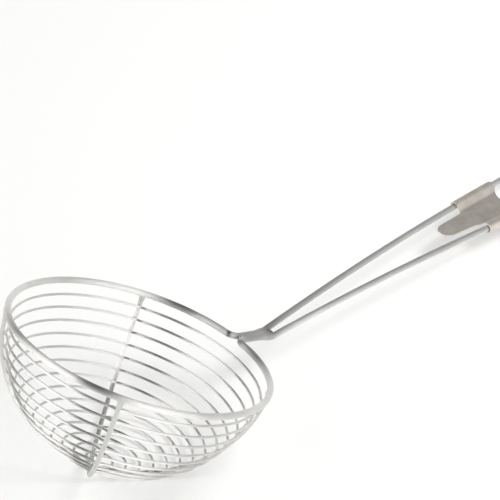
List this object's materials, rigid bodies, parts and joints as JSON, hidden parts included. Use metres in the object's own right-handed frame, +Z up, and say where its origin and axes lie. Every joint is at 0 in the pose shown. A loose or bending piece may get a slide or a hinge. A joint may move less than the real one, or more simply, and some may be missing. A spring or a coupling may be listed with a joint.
{
  "type": "wire strainer spoon",
  "caption": "Wire strainer spoon: a half-round basket of wire rings on crossed ribs, with a rim and long looped handle bent from one wire and a pressed clip between the handle wires.",
  "frame": {"origin": "on the table under the middle of the spoon, which lies on its basket and on the end of its handle", "axes": "+X along the handle, from the basket to the hanging loop; +Y to the left of it; +Z up from the table"},
  "size_m": [0.285, 0.1024, 0.0744],
  "materials": {
    "frame_steel": "bright drawn stainless wire",
    "rib_steel": "bright drawn stainless wire",
    "ring_steel": "bright drawn stainless wire",
    "clip_steel": "dull rolled stainless sheet"
  },
  "bodies": {
    "root": {"frame_wire": "frame_steel", "inner_rib": "rib_steel", "outer_rib": "rib_steel", "basket_ring_01": "ring_steel", "basket_ring_02": "ring_steel", "basket_ring_03": "ring_steel", "basket_ring_04": "ring_steel", "basket_ring_05": "ring_steel", "basket_ring_06": "ring_steel", "basket_ring_07": "ring_steel", "basket_ring_08": "ring_steel", "basket_ring_09": "ring_steel", "basket_ring_10": "ring_steel", "basket_ring_11": "ring_steel", "basket_ring_12": "ring_steel", "basket_ring_13": "ring_steel", "basket_ring_14": "ring_steel", "handle_clip": "clip_steel"}
  },
  "joints": []
}
